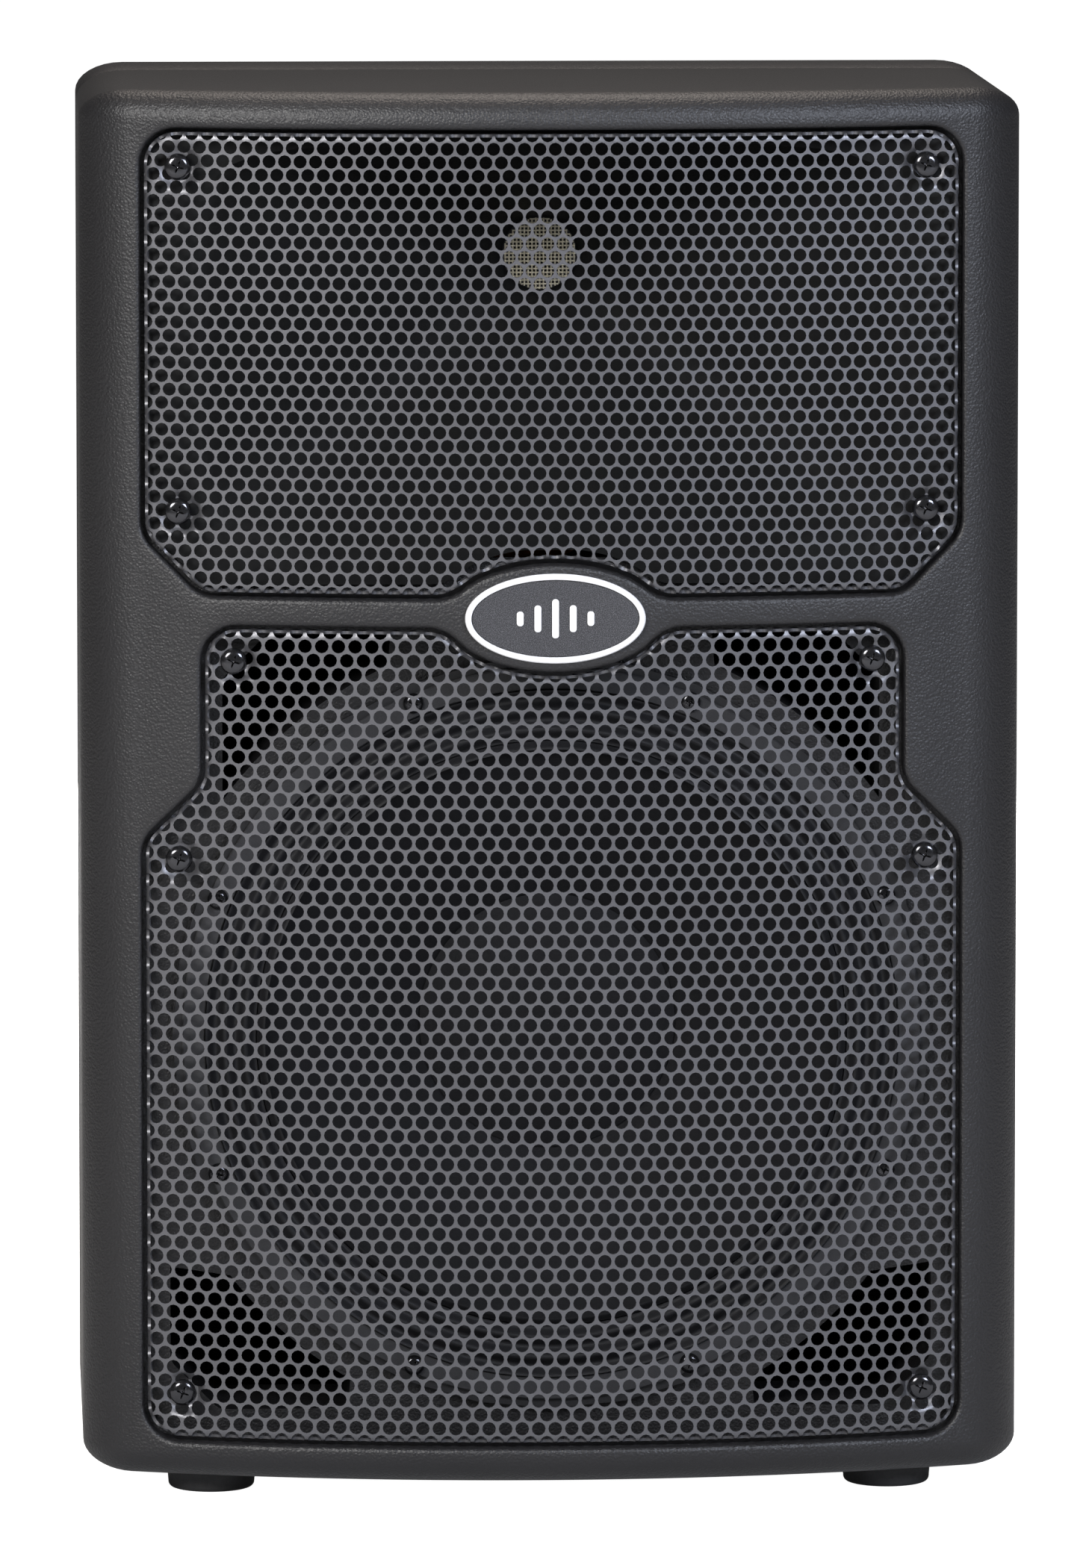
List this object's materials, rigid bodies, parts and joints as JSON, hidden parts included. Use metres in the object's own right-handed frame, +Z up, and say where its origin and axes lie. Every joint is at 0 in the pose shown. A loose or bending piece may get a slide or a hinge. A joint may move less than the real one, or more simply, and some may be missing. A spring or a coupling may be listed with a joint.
{
  "type": "pa speaker cabinet",
  "caption": "Upright powered loudspeaker with a bowed front, a horn grille over a woofer grille, an oval badge, a rear amplifier panel, a pole socket and a carrying handle.",
  "frame": {"origin": "on the floor, below the middle of the cabinet's bounding box", "axes": "+Z up, +X to the right seen from the front, the front faces -Y"},
  "size_m": [0.386, 0.35, 0.58],
  "materials": {
    "shell_plastic": "pebble-grained charcoal moulding",
    "gasket_rubber": "soft foam rubber",
    "grille_steel": "satin dark grey powder coat on perforated steel",
    "black_screw": "glossy black pan heads",
    "badge_white": "white moulded rim",
    "badge_field": "dark speckled field with plain white bars",
    "horn_plastic": "black satin moulding",
    "throat_wire": "olive woven wire",
    "driver_metal": "dark satin casting",
    "titanium": "thin formed metal",
    "basket_steel": "black painted pressing",
    "cone_paper": "black felted paper",
    "pleated_cloth": "doped pleated cloth",
    "gasket_board": "light grey pressed fibre",
    "copper_winding": "lacquered copper winding",
    "plated_steel": "zinc plate",
    "ferrite": "dark ceramic magnet",
    "grip_rubber": "ribbed grip",
    "foot_rubber": "moulded rubber",
    "connector_plastic": "black satin moulding",
    "panel_paint": "dark grey powder coat",
    "anodised_aluminium": "black anodised extrusion",
    "circuit_board": "green laminate",
    "latch_metal": "plated tab",
    "knob_plastic": "soft-touch moulding"
  },
  "bodies": {
    "cabinet": {"front_shell": "shell_plastic", "rear_shell": "shell_plastic", "shell_gasket": "gasket_rubber", "upper_grille": "grille_steel", "lower_grille": "grille_steel", "grille_screw_1": "black_screw", "grille_screw_2": "black_screw", "grille_screw_3": "black_screw", "grille_screw_4": "black_screw", "grille_screw_5": "black_screw", "grille_screw_6": "black_screw", "grille_screw_7": "black_screw", "grille_screw_8": "black_screw", "grille_screw_9": "black_screw", "grille_screw_10": "black_screw", "badge_rim": "badge_white", "badge_plate": "badge_field", "horn_waveguide": "horn_plastic", "throat_screen": "throat_wire", "compression_driver_body": "driver_metal", "compression_driver_cap": "driver_metal", "woofer_basket": "basket_steel", "woofer_surround": "pleated_cloth", "woofer_spider": "pleated_cloth", "woofer_gasket_ring": "gasket_board", "woofer_top_plate": "plated_steel", "woofer_magnet": "ferrite", "woofer_back_plate": "plated_steel", "woofer_screw_1": "black_screw", "woofer_screw_2": "black_screw", "woofer_screw_3": "black_screw", "woofer_screw_4": "black_screw", "woofer_screw_5": "black_screw", "woofer_screw_6": "black_screw", "woofer_screw_7": "black_screw", "woofer_screw_8": "black_screw", "top_handle": "grip_rubber", "pole_socket": "connector_plastic", "foot_front_left": "foot_rubber", "foot_front_right": "foot_rubber", "foot_rear_left": "foot_rubber", "foot_rear_right": "foot_rubber", "amp_panel": "panel_paint", "amp_heatsink": "anodised_aluminium", "amp_board": "circuit_board", "power_transformer": "copper_winding", "combo_jack_1": "connector_plastic", "combo_jack_2": "connector_plastic", "iec_inlet": "connector_plastic"},
    "woofer_moving_assembly": {"woofer_cone": "cone_paper", "woofer_dust_cap": "cone_paper", "woofer_voice_coil": "copper_winding"},
    "tweeter_diaphragm": {"hf_diaphragm": "titanium"},
    "level_knob_left": {"level_knob_1": "knob_plastic"},
    "level_knob_right": {"level_knob_2": "knob_plastic"},
    "ground_lift": {"ground_lift_button": "knob_plastic"},
    "latch_left": {"latch_tab_1": "latch_metal"},
    "latch_right": {"latch_tab_2": "latch_metal"},
    "rocker": {"power_rocker": "connector_plastic"},
    "fuse_holder": {"fuse_drawer": "connector_plastic"}
  },
  "joints": [
    {"name": "woofer_excursion", "type": "slide", "parent": "cabinet", "child": "woofer_moving_assembly", "axis": [0, -1, 0], "range_m": [-0.006, 0.006], "stiffness_N_per_m": 3500, "deforming": ["woofer_surround", "woofer_spider"]},
    {"name": "tweeter_excursion", "type": "slide", "parent": "cabinet", "child": "tweeter_diaphragm", "axis": [0, -1, 0], "range_m": [-0.0004, 0.0004], "stiffness_N_per_m": 8000},
    {"name": "level_knob_left_turn", "type": "hinge", "parent": "cabinet", "child": "level_knob_left", "pos_m": [-0.036, 0.165, 0.25], "axis": [0, 1, 0], "range_deg": [-150, 150]},
    {"name": "level_knob_right_turn", "type": "hinge", "parent": "cabinet", "child": "level_knob_right", "pos_m": [0.036, 0.165, 0.25], "axis": [0, 1, 0], "range_deg": [-150, 150]},
    {"name": "ground_lift_press", "type": "slide", "parent": "cabinet", "child": "ground_lift", "axis": [0, -1, 0], "range_m": [0, 0.002], "stiffness_N_per_m": 300, "springref_m": -0.001},
    {"name": "latch_left_press", "type": "slide", "parent": "cabinet", "child": "latch_left", "axis": [0, -1, 0], "range_m": [0, 0.0015], "stiffness_N_per_m": 400, "springref_m": -0.001},
    {"name": "latch_right_press", "type": "slide", "parent": "cabinet", "child": "latch_right", "axis": [0, -1, 0], "range_m": [0, 0.0015], "stiffness_N_per_m": 400, "springref_m": -0.001},
    {"name": "power_rocker_tilt", "type": "hinge", "parent": "cabinet", "child": "rocker", "pos_m": [-0.036, 0.15, 0.188], "axis": [1, 0, 0], "range_deg": [0, 18]},
    {"name": "fuse_drawer_slide", "type": "slide", "parent": "cabinet", "child": "fuse_holder", "axis": [0, 1, 0], "range_m": [0, 0.018]}
  ]
}
